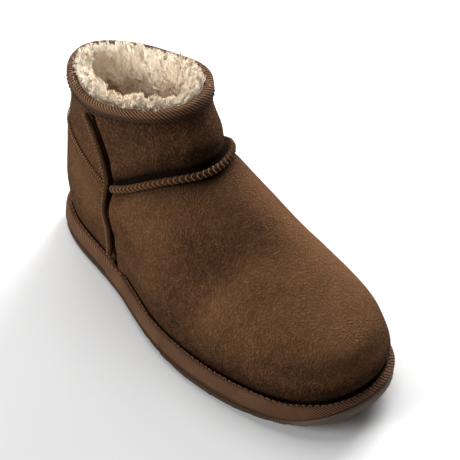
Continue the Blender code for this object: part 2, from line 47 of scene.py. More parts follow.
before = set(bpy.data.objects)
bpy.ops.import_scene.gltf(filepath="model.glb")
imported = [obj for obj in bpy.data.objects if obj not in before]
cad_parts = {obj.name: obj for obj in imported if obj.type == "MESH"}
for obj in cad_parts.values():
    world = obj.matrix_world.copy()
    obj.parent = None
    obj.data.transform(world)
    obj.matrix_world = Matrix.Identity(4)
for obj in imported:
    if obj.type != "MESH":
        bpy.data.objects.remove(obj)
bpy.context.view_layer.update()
COLLAR_LOW, COLLAR_HIGH = (np.array(corner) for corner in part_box("collar_binding"))
UPPER_LOW, UPPER_HIGH = (np.array(corner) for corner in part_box("upper"))
UPPER_SIZE = UPPER_HIGH - UPPER_LOW
SHAFT_CENTRE = (COLLAR_LOW + COLLAR_HIGH) / 2
FLAT = np.array([1.0, 1.0, 0.0])
UP = np.array([0.0, 0.0, 1.0])

# Line inside the foot that the upper's outward side is told from: its x, the ends of its level
# part, that part's height and rear end, and the height from which it stands in the shaft's middle
SPINE_X = 0.002
SPINE_ENDS = (-0.175, -0.010)
SPINE_HEIGHT = 0.030
SPINE_REAR = -0.075
SPINE_SHAFT = 0.080

# Collar tape: reach of its round edge on either side of the top, start of its smooth flat part,
# and how far below the top its stitches run
TAPE_ROUND = 0.0027
TAPE_FLAT = 0.0036
TAPE_STITCHES = 0.0068

# Foxing: where its smooth lower strip starts below the top, how far the strip stands out, and how
# far in from the top's middle its stitches run
STRIP_DROP = 0.0082
STRIP_STEP = 0.0006
FOXING_STITCHES = 0.0010

# Wool: how steeply the mouth rises toward the toe and, with that slope taken out, where the rim's
# wool starts, where the painted shade deep in the shaft gives way to pale wool, and over what height
MOUTH_SLOPE = 0.16
RIM_LOW = 0.108
RIM_BAND = 0.012
SHADE_FADE_LOW = 0.090
SHADE_FADE_BAND = 0.035

# Where the shaft's wool starts above the floor, over what height, and how far it goes to the toe
SHAFT_LOW = 0.035
SHAFT_BAND = 0.025
SHAFT_FRONT = -0.09

# How far below the tape's top the open mouth starts, and how far off the lining the strands start
MOUTH_DEPTH = 0.0035
ROOT_HEIGHT = 0.0008

# Tufts of the wool's base, strands in a clump, points along a strand, and the wool's glow
TUFTS = 1500
TUFT_WIDTH = 0.0042
TUFT_RISE = 0.0012
STRANDS_PER_CLUMP = 13
STRAND_STEPS = 4
WOOL_GLOW = 0.10
WOOL_GLOW_ROOT = (0.10, 0.05, 0.02)


def length_value(name, text, default):
    return bpy.props.FloatProperty(name=name, description=text, default=default, unit="LENGTH", precision=4)


def colour_value(name, text, default):
    return bpy.props.FloatVectorProperty(name=name, description=text, default=default, size=3,
                                         subtype="COLOR", min=0.0, max=1.0)


class BootSizes(bpy.types.PropertyGroup):
    """Sizes of the finishes"""
    twill_pitch: length_value("Tape rib", "From rib to rib along the collar tape", 0.0023)
    foxing_pitch: length_value("Foxing rib", "From rib to rib along the foxing", 0.0022)
    thread: length_value("Thread", "Thickness of the sewing thread", 0.00080)
    overlock_pitch: length_value("Overlock pitch", "From loop to loop on the instep seam", 0.0033)
    stitch_pitch: length_value("Stitch pitch", "From stitch to stitch in the flat rows", 0.0037)
    wool_length: length_value("Wool length", "Length of the lining's wool", 0.0052)
    hair_width: length_value("Hair width", "Width of a strand of wool", 0.00027)
    wool_strands: bpy.props.IntProperty(name="Strands", description="Number of strands of wool",
                                        default=32000, min=100)


class BootColours(bpy.types.PropertyGroup):
    """Colours of the finishes"""
    suede: colour_value("Suede", "Suede of the upper", (0.178, 0.087, 0.040))
    # The darkest suede: the dark end of the nap's own mottle, and the colour that the painted shade goes
    # toward
    suede_dark_and_shade: colour_value("Suede shade", "Suede where the nap lies dark", (0.027, 0.012, 0.006))
    crevice_shade: colour_value("Crevice", "Suede in the crevices beside the seams", (0.008, 0.004, 0.002))
    # Painted shade: the colour of the shadow in the crevices beside the seams, also used on the raw seam
    # edges and the midsole board
    tape: colour_value("Tape", "Ribbed collar tape", (0.172, 0.088, 0.047))
    foxing: colour_value("Foxing", "Twill on the platform's side", (0.140, 0.070, 0.039))
    thread: colour_value("Thread", "Sewing thread of the raised seams", (0.225, 0.125, 0.064))
    # Near black: the thread's own dark colour together with painted shade of the grooves that the flat rows
    # sink into
    dark_thread: colour_value("Dark thread", "Sewing thread of the flat rows", (0.022, 0.011, 0.006))
    rubber: colour_value("Rubber", "Outsole", (0.048, 0.028, 0.015))
    bumper: colour_value("Bumper", "Scuffed rubber in front of the toe", (0.135, 0.100, 0.072))
    wool: colour_value("Wool", "Tips of the wool", (0.950, 0.840, 0.680))
    # Wool roots, also the colour that the painted shade deep in the shaft goes toward
    wool_root: colour_value("Wool root", "Depths of the wool", (0.540, 0.310, 0.150))


def sizes():
    return bpy.context.scene.boot_sizes


def colours():
    return bpy.context.scene.boot_colours


# Shader maths


class Value:
    """A socket that can be used in sums; each sum adds its Math node."""

    def __init__(self, finish, socket):
        self.finish = finish
        self.socket = socket

    def math(self, operation, *others):
        return self.finish.add("ShaderNodeMath", {"operation": operation}, (self, *others))

    def __add__(self, other):
        return self.math("ADD", other)

    def __sub__(self, other):
        return self.math("SUBTRACT", other)

    def __rsub__(self, other):
        return self.finish.add("ShaderNodeMath", {"operation": "SUBTRACT"}, (other, self))

    def __mul__(self, other):
        return self.math("MULTIPLY", other)

    __radd__ = __add__
    __rmul__ = __mul__


class Finish:
    """A material under construction."""

    def __init__(self, name, roughness, specular):
        self.material = bpy.data.materials.new(name)
        self.material.use_nodes = True
        self.tree = self.material.node_tree
        self.shader = self.tree.nodes["Principled BSDF"]
        self.shader.inputs["Roughness"].default_value = roughness
        self.shader.inputs["Specular IOR Level"].default_value = specular

    def add(self, kind, settings=None, values=(), output=0):
        """Node of a kind: its settings first, then the values or links of its sockets."""
        node = self.tree.nodes.new(kind)
        for name, setting in (settings or {}).items():
            setattr(node, name, setting)
        pairs = values.items() if isinstance(values, dict) else enumerate(values)
        for place, value in pairs:
            self.feed(node.inputs[place], value)
        return Value(self, node.outputs[output])

    def feed(self, socket, value):
        if isinstance(value, Value):
            self.tree.links.new(value.socket, socket)
        elif socket.type == "RGBA":
            socket.default_value = (*value, 1.0)
        else:
            socket.default_value = value

    def place(self):
        """Object coordinates."""
        return self.add("ShaderNodeTexCoord", output=3)

    def noise(self, scale, detail=3.0, roughness=0.55, stretch=None, bend=0.0):
        """Noise from 0 to 1 at features per metre."""
        where = self.place()
        if stretch:
            where = self.add("ShaderNodeMapping", None, {"Vector": where, "Scale": stretch})
        return self.add("ShaderNodeTexNoise", None, {"Vector": where, "Scale": scale, "Detail": detail,
                                                     "Roughness": roughness, "Distortion": bend})

    def attribute(self, name):
        """Number that the mesh carries under a name."""
        return self.add("ShaderNodeAttribute", {"attribute_name": name}, output=2)

    def between(self, value, low, high):
        """0 below low, 1 above high, smooth between."""
        return self.add("ShaderNodeMapRange", {"interpolation_type": "SMOOTHSTEP"},
                        {"Value": value, "From Min": low, "From Max": high})

    def mix(self, share, first, second):
        """Colour that goes from the first at 0 to the second at 1."""
        return self.add("ShaderNodeMix", {"data_type": "RGBA"}, {0: share, 6: first, 7: second}, output=2)

    def colour(self, value):
        self.feed(self.shader.inputs["Base Color"], value)

    def relief(self, height, distance):
        """Bump of a height from 0 to 1 that stands distance metres tall."""
        bump = self.add("ShaderNodeBump", None, {"Height": height, "Distance": distance, "Strength": 1.0})
        self.feed(self.shader.inputs["Normal"], bump)


def scaled(colour, share):
    """Colour made darker or lighter."""
    return tuple(min(1.0, share * part) for part in colour)


def suede_finish():
    """Brushed suede: cloudy nap, grain and fine wrinkles, with painted light on the crowns and painted shade
    in the crevices.
    """
    tones = colours()
    finish = Finish("suede", roughness=1.0, specular=0.03)
    patches = finish.between(finish.noise(30.0, 3.0), 0.32, 0.68)
    mottle = finish.between(finish.noise(210.0, 5.0, 0.75), 0.38, 0.62)
    grain = finish.between(finish.noise(850.0, 2.0, 0.6), 0.38, 0.62)
    wrinkle = finish.noise(380.0, 3.0, 0.6, (1.0, 1.0, 1.8), 1.6)
    # The attribute read here carries painted light and shade and sets most of the tone; patches, mottle and
    # grain are the suede's own variation
    share = patches * 0.14 + mottle * 0.16 + grain * 0.26 + finish.attribute("painted_shading") * 0.66 - 0.14
    nap = finish.mix(share, tuple(tones.suede_dark_and_shade), tuple(tones.suede))
    # Painted shade: the suede goes toward the crevice colour beside the seams and along the foxing
    finish.colour(finish.mix(finish.attribute("crevice_shade"), nap, tuple(tones.crevice_shade)))
    finish.relief(grain * 0.42 + wrinkle * 0.48 + mottle * 0.10, 0.0018)
    return finish.material


def twill_finish(name, colour, count, slant, height, groove=0.45):
    """Diagonal ribs over a band's along and across attributes, count of them in one lap.

    Painted shade fills the grooves between the ribs and a painted highlight their crests. Where the flat
    attribute is 1 the band is dark: painted shade on the collar tape's turned-down face, the darker lower
    strip on the foxing.
    """
    finish = Finish(name, roughness=0.9, specular=0.06)
    turns = finish.attribute("along") * float(count) + finish.attribute("across") * slant
    wave = finish.add("ShaderNodeMath", {"operation": "SINE"}, (turns * math.tau,))
    rib = finish.between(wave, -0.9, 0.5)
    fibre = finish.noise(1500.0, 2.0)
    wear = finish.between(finish.noise(60.0, 3.0), 0.3, 0.7)
    # Ribs give painted shade in the grooves and a painted highlight on the crests; the wear and fibre noise
    # are the cloth's own
    colour_share = rib * 0.66 + wear * 0.18 + fibre * 0.16
    lit = finish.mix(colour_share, scaled(colour, groove), scaled(colour, 1.2))
    # Dark colour of the flat part: painted shade on the collar tape, the darker lower strip on the foxing
    shade_and_strip = finish.mix(colour_share, scaled(colour, 0.16), scaled(colour, 0.36))
    finish.colour(finish.mix(finish.attribute("flat"), lit, shade_and_strip))
    finish.relief(rib * 0.8 + fibre * 0.2, height)
    return finish.material


def rubber_finish():
    """Scuffed rubber, paler in front of the toe."""
    tones = colours()
    finish = Finish("outsole_rubber", roughness=0.8, specular=0.15)
    split = finish.add("ShaderNodeSeparateXYZ", None, (finish.place(),), output=1)
    toe = finish.between(split * -1.0, 0.190, 0.214)
    scuff = finish.noise(180.0, 4.0, 0.65)
    fine = finish.noise(1600.0, 2.0)
    base = finish.mix(scuff, scaled(tones.rubber, 0.7), tuple(tones.rubber))
    tip = finish.mix(scuff, scaled(tones.bumper, 0.65), tuple(tones.bumper))
    finish.colour(finish.mix(toe, base, tip))
    finish.relief(scuff * 0.5 + fine * 0.5, 0.0004)
    return finish.material


def thread_finish(name, colour):
    """Twisted sewing thread."""
    finish = Finish(name, roughness=0.85, specular=0.10)
    ply = finish.noise(1100.0, 2.0)
    finish.colour(finish.mix(ply, scaled(colour, 0.55), tuple(colour)))
    finish.relief(ply, 0.0002)
    return finish.material


def seam_edge_finish():
    """Raw suede edge inside a seam: fibrous, and darkened toward the painted shade of the crevices."""
    tones = colours()
    finish = Finish("seam_edge", roughness=1.0, specular=0.03)
    fibre = finish.noise(900.0, 3.0)
    finish.colour(finish.mix(fibre, tuple(tones.crevice_shade), scaled(tones.suede, 0.45)))
    finish.relief(fibre, 0.0006)
    return finish.material


def wool_finish(name):
    """Wool that goes from its root colour to its tip colour with the tip and tone attributes; the tone
    attribute also carries the painted shade deep in the shaft.
    """
    tones = colours()
    finish = Finish(name, roughness=1.0, specular=0.02)
    tint = finish.noise(110.0, 3.0)
    share = finish.attribute("tip") * 0.38 + finish.attribute("tone") * 0.62 + (tint - 0.5) * 0.9
    pale = finish.between(share, 0.20, 1.0)
    fleece = finish.mix(pale, tuple(tones.wool_root), tuple(tones.wool))
    finish.colour(fleece)
    # A faint glow stands for the light that real hairs scatter among themselves
    finish.feed(finish.shader.inputs["Emission Color"], finish.mix(pale, WOOL_GLOW_ROOT, fleece))
    finish.shader.inputs["Emission Strength"].default_value = WOOL_GLOW
    finish.relief(finish.noise(420.0, 4.0, 0.7, (1.0, 1.0, 0.4), 1.0), 0.0008)
    return finish.material


# Meshes


def deselect_all():
    if bpy.context.object and bpy.context.object.mode != "OBJECT":
        bpy.ops.object.mode_set(mode="OBJECT")
    bpy.ops.object.select_all(action="DESELECT")


def activate(thing):
    deselect_all()
    thing.select_set(True)
    bpy.context.view_layer.objects.active = thing


def node_copy(node, name):
    """Copy of a CAD node as a new piece: merged, with its triangles paired into quads."""
    deselect_all()
    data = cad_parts[node].data.copy()
    data.name = name
    data.materials.clear()
    piece = bpy.data.objects.new(name, data)
    bpy.context.scene.collection.objects.link(piece)
    activate(piece)
    if data.has_custom_normals:
        bpy.ops.mesh.customdata_custom_splitnormals_clear()
    bpy.ops.object.mode_set(mode="EDIT")
    bpy.ops.mesh.select_all(action="SELECT")
    bpy.ops.mesh.remove_doubles(threshold=2e-5)
    bpy.ops.mesh.mark_sharp(clear=True)
    bpy.ops.mesh.tris_convert_to_quads(face_threshold=math.radians(60), shape_threshold=math.radians(120))
    bpy.ops.object.mode_set(mode="OBJECT")
    return piece


def subdivide(piece, levels, crease_angle=None):
    """Subdivision surface, applied; edges sharper than crease_angle keep some of their edge."""
    activate(piece)
    if crease_angle:
        mesh = bmesh.new()
        mesh.from_mesh(piece.data)
        crease = mesh.edges.layers.float.get("crease_edge") or mesh.edges.layers.float.new("crease_edge")
        for edge in mesh.edges:
            if len(edge.link_faces) == 2 and edge.calc_face_angle() > crease_angle:
                edge[crease] = 0.75
        mesh.to_mesh(piece.data)
        mesh.free()
    smooth = piece.modifiers.new("smooth", "SUBSURF")
    smooth.levels = levels
    smooth.render_levels = levels
    bpy.ops.object.modifier_apply(modifier=smooth.name)
    bpy.ops.object.shade_smooth()
    return piece


def refine(piece, chosen):
    """Cut the chosen faces once more, for the finer folds."""
    activate(piece)
    piece.data.vertices.foreach_set("select", np.zeros(len(piece.data.vertices), bool))
    piece.data.edges.foreach_set("select", np.zeros(len(piece.data.edges), bool))
    piece.data.polygons.foreach_set("select", chosen)
    bpy.ops.object.mode_set(mode="EDIT")
    bpy.ops.mesh.select_mode(type="FACE")
    bpy.ops.mesh.subdivide(number_cuts=1, smoothness=1.0)
    bpy.ops.object.mode_set(mode="OBJECT")
    bpy.ops.object.shade_smooth()


def column(items, name, width=3):
    """One property of all items, as an array."""
    values = np.empty(width * len(items))
    items.foreach_get(name, values)
    return values.reshape(-1, width) if width > 1 else values


def points_of(piece):
    """Places and normals of a piece's points."""
    return column(piece.data.vertices, "co"), column(piece.data.vertices, "normal")


def faces_of(piece):
    """Middles and normals of a piece's faces."""
    return column(piece.data.polygons, "center"), column(piece.data.polygons, "normal")


def move_points(piece, points):
    piece.data.vertices.foreach_set("co", points.ravel())
    piece.data.update()


def put_attribute(piece, name, values, domain="POINT"):
    layer = piece.data.attributes.new(name, "FLOAT", domain)
    layer.data.foreach_set("value", np.asarray(values, np.float32))


def put_lap(piece, name, shares):
    """Share of a lap on the face corners, so that it runs on past the lap's start."""
    corners = column(piece.data.loops, "vertex_index", 1).astype(int)
    first = column(piece.data.polygons, "loop_start", 1).astype(int)
    count = column(piece.data.polygons, "loop_total", 1).astype(int)
    here = shares[corners]
    highest = np.repeat(np.maximum.reduceat(here, first), count)
    put_attribute(piece, name, np.where(highest - here > 0.5, here + 1.0, here), "CORNER")


def finish_piece(piece, material, slot, *nodes):
    """Material of a piece, and the CAD nodes that it stands for; the slot is not used."""
    piece.data.materials.clear()
    piece.data.materials.append(material)
    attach(piece, "root")
    if nodes:
        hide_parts(*nodes)


def mesh_piece(name, vertices, faces):
    """New smooth piece."""
    data = bpy.data.meshes.new(name)
    data.from_pydata(vertices, [], faces)
    data.update()
    piece = bpy.data.objects.new(name, data)
    bpy.context.scene.collection.objects.link(piece)
    activate(piece)
    bpy.ops.object.shade_smooth()
    return piece


def surface_tree(data):
    """Search tree of a mesh's surface."""
    points = [vert.co for vert in data.vertices]
    return BVHTree.FromPolygons(points, [tuple(face.vertices) for face in data.polygons])


def bearing(points, centre):
    """Angle seen from above, from the back over the lateral side, 0 to a full turn."""
    return np.arctan2(centre[0] - points[..., 0], points[..., 1] - centre[1]) % math.tau


class Lap:
    """Closed line through a band's points, seen from above and read by bearing."""

    def __init__(self, points, bins=72):
        self.centre = (points.min(axis=0) + points.max(axis=0)) / 2
        place = (bearing(points, self.centre) / math.tau * bins).astype(int) % bins
        count = np.bincount(place, minlength=bins)
        filled = count > 0
        sums = np.stack([np.bincount(place, points[:, k], bins) for k in range(3)], axis=1)
        line = sums[filled] / count[filled, None]
        turns = bearing(line, self.centre)
        order = np.argsort(turns)
        self.start = turns[order[0]]
        self.line = np.vstack([line[order], line[order[:1]]])
        self.turns = np.concatenate([turns[order] - self.start, [math.tau]])
        walk = np.cumsum(np.linalg.norm(np.diff(self.line, axis=0), axis=1))
        self.length = walk[-1]
        self.walk = np.concatenate([[0.0], walk])

    def share(self, points):
        """Share of the lap walked at each point's bearing."""
        turn = (bearing(points, self.centre) - self.start) % math.tau
        return np.interp(turn, self.turns, self.walk) / self.length

    def at(self, shares):
        """Points of the line at shares of the lap."""
        place = shares % 1.0 * self.length
        return np.stack([np.interp(place, self.walk, self.line[:, k]) for k in range(3)], axis=1)

    def beside(self, points):
        """Points of the line at the same bearings."""
        return self.at(self.share(points))


def top_edge(node):
    """Lap along the highest points of a band."""
    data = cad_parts[node].data
    points = np.unique(np.round([tuple(vert.co) for vert in data.vertices], 6), axis=0)
    lap = Lap(points)
    return Lap(points[points[:, 2] > lap.beside(points)[:, 2] + 0.0015])


def outward_of(points, normals):
    """Normals turned to point away from the foot, also on the wall's inner face."""
    spine = points.copy()
    spine[:, 0] = SPINE_X
    spine[:, 1] = np.clip(points[:, 1], *SPINE_ENDS)
    spine[:, 2] = np.where(points[:, 1] < SPINE_REAR, SPINE_HEIGHT, points[:, 2])
    spine[:, 1] = np.where(points[:, 2] > SPINE_SHAFT, SHAFT_CENTRE[1], spine[:, 1])
    facing = ((points - spine) * normals).sum(axis=1)
    return normals * np.where(facing < 0, -1.0, 1.0)[:, None]


# Folds of the suede. Each runs from start over bend to end, in shares of the upper's box: across
# from the lateral side, along from the toe, up from the welt. Lift is a ridge, or a hollow below 0;
# shade is painted shade laid along the fold, and a painted highlight where it is below 0.
Fold = namedtuple("Fold", "start bend end width lift shade")
FOLDS = (
    Fold((0.46, 0.345, 0.49), (0.20, 0.385, 0.42), (0.00, 0.400, 0.15), 0.0115, -0.0030, 0.40),
    Fold((0.34, 0.440, 0.56), (0.18, 0.440, 0.44), (0.05, 0.450, 0.20), 0.0140, 0.0000, 0.26),
    Fold((0.64, 0.420, 0.60), (0.50, 0.380, 0.53), (0.42, 0.330, 0.48), 0.0160, 0.0000, 0.20),
    Fold((0.43, 0.285, 0.44), (0.20, 0.300, 0.37), (0.03, 0.295, 0.17), 0.0085, 0.0013, -0.10),
    Fold((0.42, 0.424, 0.58), (0.25, 0.444, 0.53), (0.11, 0.475, 0.39), 0.0100, -0.0008, 0.10),
    Fold((0.05, 0.374, 0.29), (0.13, 0.358, 0.36), (0.28, 0.343, 0.44), 0.0017, -0.0006, 0.16),
    Fold((0.05, 0.370, 0.27), (0.11, 0.350, 0.32), (0.19, 0.326, 0.38), 0.0016, -0.0005, 0.16),
    Fold((0.02, 0.366, 0.24), (0.05, 0.346, 0.28), (0.11, 0.322, 0.32), 0.0016, -0.0005, 0.14),
    Fold((0.01, 0.362, 0.21), (0.04, 0.336, 0.25), (0.08, 0.305, 0.28), 0.0018, -0.0004, 0.14),
    Fold((0.06, 0.385, 0.31), (0.14, 0.372, 0.38), (0.25, 0.362, 0.44), 0.0018, 0.0004, -0.08),
    Fold((0.47, 0.364, 0.51), (0.54, 0.333, 0.48), (0.64, 0.309, 0.45), 0.0015, -0.0004, 0.14),
    Fold((0.44, 0.338, 0.48), (0.52, 0.311, 0.46), (0.56, 0.282, 0.43), 0.0015, -0.0004, 0.14),
    Fold((0.50, 0.385, 0.54), (0.58, 0.352, 0.51), (0.68, 0.330, 0.47), 0.0016, -0.0004, 0.12),
    Fold((0.10, 0.190, 0.22), (0.18, 0.122, 0.24), (0.32, 0.085, 0.24), 0.0080, -0.0006, 0.22),
    Fold((0.15, 0.648, 0.46), (0.10, 0.610, 0.36), (0.07, 0.560, 0.26), 0.0055, -0.0009, 0.10),
    Fold((0.37, 0.585, 0.90), (0.35, 0.569, 0.81), (0.33, 0.570, 0.73), 0.0060, -0.0008, 0.10),
    Fold((0.55, 0.556, 0.90), (0.52, 0.534, 0.84), (0.47, 0.528, 0.78), 0.0060, -0.0006, 0.10),
    Fold((0.24, 0.900, 0.78), (0.22, 0.860, 0.66), (0.22, 0.790, 0.56), 0.0055, -0.0008, 0.10),
    Fold((0.93, 0.385, 0.33), (0.98, 0.390, 0.25), (1.00, 0.395, 0.14), 0.0085, -0.0016, 0.20),
    Fold((0.90, 0.320, 0.32), (0.97, 0.325, 0.26), (1.00, 0.330, 0.16), 0.0070, 0.0008, -0.05),
    Fold((0.86, 0.640, 0.46), (0.90, 0.600, 0.36), (0.94, 0.560, 0.26), 0.0055, -0.0009, 0.10),
    Fold((0.78, 0.900, 0.78), (0.80, 0.860, 0.66), (0.80, 0.790, 0.56), 0.0055, -0.0008, 0.10),
    Fold((0.72, 0.480, 0.66), (0.84, 0.330, 0.42), (0.88, 0.160, 0.24), 0.0140, 0.0000, -0.45),
    Fold((0.20, 0.950, 0.50), (0.14, 0.840, 0.35), (0.14, 0.720, 0.20), 0.0160, 0.0000, -0.45),
    Fold((0.30, 0.600, 0.80), (0.50, 0.560, 0.84), (0.70, 0.600, 0.82), 0.0220, 0.0000, 0.35),
)


def fold_relief(points):
    """Height of the listed folds at each point, and their painted shade, negative where they carry a painted
    highlight.
    """
    height, dark = np.zeros(len(points)), np.zeros(len(points))
    part = np.linspace(0.0, 1.0, 24)[:, None]
    for fold in FOLDS:
        start, bend, end = (UPPER_LOW + UPPER_SIZE * np.array(place) for place in fold[:3])
        path = (1 - part) ** 2 * start + 2 * part * (1 - part) * bend + part ** 2 * end
        near = (np.abs(points - path.mean(axis=0)) < np.ptp(path, axis=0) / 2 + 3 * fold.width).all(axis=1)
        away = np.linalg.norm(points[near, None] - path[None], axis=2)
        place = away.argmin(axis=1) / (len(path) - 1)
        taper = np.clip(np.minimum(place, 1 - place) / 0.3 + 0.15, 0, 1)
        share = taper * np.exp(-(away.min(axis=1) / fold.width) ** 2)
        height[near] += fold.lift * share
        dark[near] += fold.shade * share
    return height, dark


def hump(distance, middle, width):
    """Soft ridge: 1 at the middle, fading over the width."""
    return np.exp(-((distance - middle) / width) ** 2)


def seam_path(node, key, group=6, steps=160):
    """Centre line of a seam's bar: its corners in order, averaged section by section."""
    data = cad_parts[node].data
    corners = np.unique(np.round([tuple(vert.co) for vert in data.vertices], 6), axis=0)
    corners = corners[np.argsort(key(corners))]
    count = len(corners) // group
    middle = np.array([corners[i * group:(i + 1) * group].mean(axis=0) for i in range(count)])
    for _ in range(2):
        middle[1:-1] = 0.25 * middle[:-2] + 0.5 * middle[1:-1] + 0.25 * middle[2:]
    walk = np.concatenate([[0.0], np.cumsum(np.linalg.norm(np.diff(middle, axis=0), axis=1))])
    places = np.linspace(0.0, walk[-1], steps)
    return np.stack([np.interp(places, walk, middle[:, k]) for k in range(3)], axis=1), walk[-1]


def round_shaft(points):
    """Bearing round the shaft, for seams that cross its front."""
    return bearing(points, SHAFT_CENTRE)


def round_back(points):
    """Bearing counted from the front, for seams that cross the shaft's back."""
    return (bearing(points, SHAFT_CENTRE) + math.pi) % math.tau


def upwards(points):
    return points[:, 2]


# Raised seams: how their corners are put in order, reach of the thread across and out, its lean,
# its pitch as a share of the overlock's, how far its middle stands off the suede at most, and how
# far its thread sits toward the heel
SeamRow = namedtuple("SeamRow", "node order across tall lean pitch stand aft")
SEAM_ROWS = (
    SeamRow("instep_seam", round_shaft, 0.0021, 0.0019, 0.0020, 1.00, 0.0030, 0.0),
    SeamRow("counter_seam", round_back, 0.0011, 0.0008, 0.0004, 0.62, -0.0007, 0.0),
    SeamRow("side_seam_lateral", upwards, 0.0007, 0.0017, 0.0006, 0.66, 0.0030, 0.0010),
    SeamRow("side_seam_medial", upwards, 0.0007, 0.0017, 0.0006, 0.66, 0.0030, 0.0010),
)


def seam_relief(points):
    """Bulges and crevices beside the seams: their height, and the painted shade in the crevices."""
    height, dark = np.zeros(len(points)), np.zeros(len(points))
    paths = {row.node: seam_path(row.node, row.order)[0] for row in SEAM_ROWS}
    instep, counter = paths["instep_seam"], paths["counter_seam"]

    # Instep seam: the shaft bulges above it and the vamp below it, and both get painted shade next to it
    turns = round_shaft(points)
    above = points[:, 2] - np.interp(turns, round_shaft(instep), instep[:, 2])
    ends = round_shaft(instep[[0, -1]])
    inside = np.clip(np.minimum(turns - ends[0], ends[1] - turns) / 0.15 + 0.3, 0, 1)
    inside = inside * (points[:, 1] < SHAFT_CENTRE[1] + 0.02) * (np.abs(above) < 0.05)
    lateral = np.clip(0.7 - points[:, 0] / 0.04, 0.3, 1.0)
    bulges = 0.0026 * hump(above, 0.0130, 0.0085) + 0.0016 * hump(above, -0.0110, 0.0070)
    height += inside * lateral * bulges
    dark += inside * (0.70 * hump(above, 0.0015, 0.0030) + 0.50 * hump(above, 0.0040, 0.0085))
    dark += inside * (0.55 * hump(above, -0.0030, 0.0016) + 0.25 * hump(above, -0.0040, 0.0050))

    # Counter seam: a shallow groove with a line of painted shade on either side
    back = round_back(points)
    above = points[:, 2] - np.interp(back, round_back(counter), counter[:, 2])
    ends = round_back(counter[[0, -1]])
    inside = ((back > ends[0]) & (back < ends[1])) * 1.0
    height += inside * (0.0006 * hump(above, 0.0060, 0.0040) - 0.0005 * hump(above, 0.0, 0.0016))
    dark += inside * 0.35 * (hump(above, 0.0018, 0.0008) + hump(above, -0.0018, 0.0008))

    # Side seams: a trough with painted shade on the toe's side of each, between two soft bulges below the
    # tape
    for node in ("side_seam_lateral", "side_seam_medial"):
        path = paths[node]
        side = np.sign(path[0, 0])
        ahead = np.interp(points[:, 2], path[:, 2], path[:, 1]) - points[:, 1]
        near = (points[:, 0] * side > 0) & (np.abs(ahead) < 0.02)
        ahead = ahead[near]
        below = np.clip((COLLAR_LOW[2] + 0.001 - points[near, 2]) / 0.006, 0, 1)
        height[near] += below * (0.0016 * hump(ahead, 0.0095, 0.0045) + 0.0008 * hump(ahead, -0.0065, 0.0040))
        height[near] -= 0.0023 * hump(ahead, 0.0034, 0.0024)
        dark[near] += 1.4 * hump(ahead, 0.0032, 0.0026)
    return height, np.clip(dark, 0, 1)


def make_upper():
    """Suede upper with its folds, its bulges beside the seams and a pinch along the foxing."""
    piece = subdivide(node_copy("upper", "suede_upper"), 2)
    middles, facing = faces_of(piece)
    outer = (facing * outward_of(middles, facing)).sum(axis=1) > 0
    refine(piece, outer & (middles[:, 2] > UPPER_LOW[2] + 0.003))
    points, normals = points_of(piece)
    outward = outward_of(points, normals)
    outside = (normals * outward).sum(axis=1) > 0
    height, dark = seam_relief(points)
    rise = points[:, 2] - top_edge("foxing_band").beside(points)[:, 2]
    folds, shade = fold_relief(points)
    front = np.clip((-0.10 - points[:, 1]) / 0.08, 0, 1)
    pinch = hump(rise, 0.0002, 0.0034) * (0.35 + 0.65 * front)
    push = np.maximum(height + folds - 0.0012 * pinch, -0.0024) * outside
    move_points(piece, points + outward * push[:, None])
    # Painted light and shade: suede facing up is lighter and suede facing the toe darker, as light from above
    # makes it; the folds add their painted shade and painted highlights
    painted_shading = 0.35 + 0.70 * outward[:, 2] + 0.35 * np.minimum(outward[:, 1], 0.0) - shade
    # Painted shade in a band just above the foxing, strongest toward the toe
    painted_shading -= 0.55 * hump(rise, 0.004, 0.008) * front
    put_attribute(piece, "painted_shading", np.clip(painted_shading, -0.2, 1.2))
    # Painted shade in the crevices beside the seams and along the pinch above the foxing
    put_attribute(piece, "crevice_shade", np.clip(dark + 1.1 * pinch, 0, 1) * outside)
    finish_piece(piece, suede_finish(), "suede", "upper")


def make_tape():
    """Collar tape: the folded band, smooth, with the coordinates its ribs follow."""
    piece = subdivide(node_copy("collar_binding", "collar_tape"), 2)
    points, normals = points_of(piece)
    lap = Lap(points[normals[:, 2] > 0.9])
    away = points[:, :2] - lap.centre[:2]
    away /= np.linalg.norm(away, axis=1)[:, None]
    facing = (normals[:, :2] * away).sum(axis=1)
    drop = np.maximum(lap.beside(points)[:, 2] - points[:, 2] - 0.001, 0.0)
    pitch = sizes().twill_pitch
    put_lap(piece, "along", lap.share(points))
    reach = facing * (TAPE_ROUND + drop)
    put_attribute(piece, "across", -reach)
    # Painted shade: the tape's face below its round edge gets the dark flat colour
    put_attribute(piece, "flat", np.clip((reach - TAPE_FLAT) / 0.0015, 0, 1))
    ribs = round(lap.length / pitch)
    tape = twill_finish("collar_twill", tuple(colours().tape), ribs, 1.0 / pitch, 0.0011, 0.07)
    finish_piece(piece, tape, "binding_twill", "collar_binding")
    tree = surface_tree(piece.data)
    shares = np.arange(0.0, 1.0, sizes().stitch_pitch / lap.length)
    guide = lap.at(shares) - np.array([0.0, 0.0, TAPE_STITCHES])
    row = stitch_row("tape_stitches", tree, guide, lap.centre)
    finish_piece(row, thread_finish("dark_thread", tuple(colours().dark_thread)), "binding_twill")


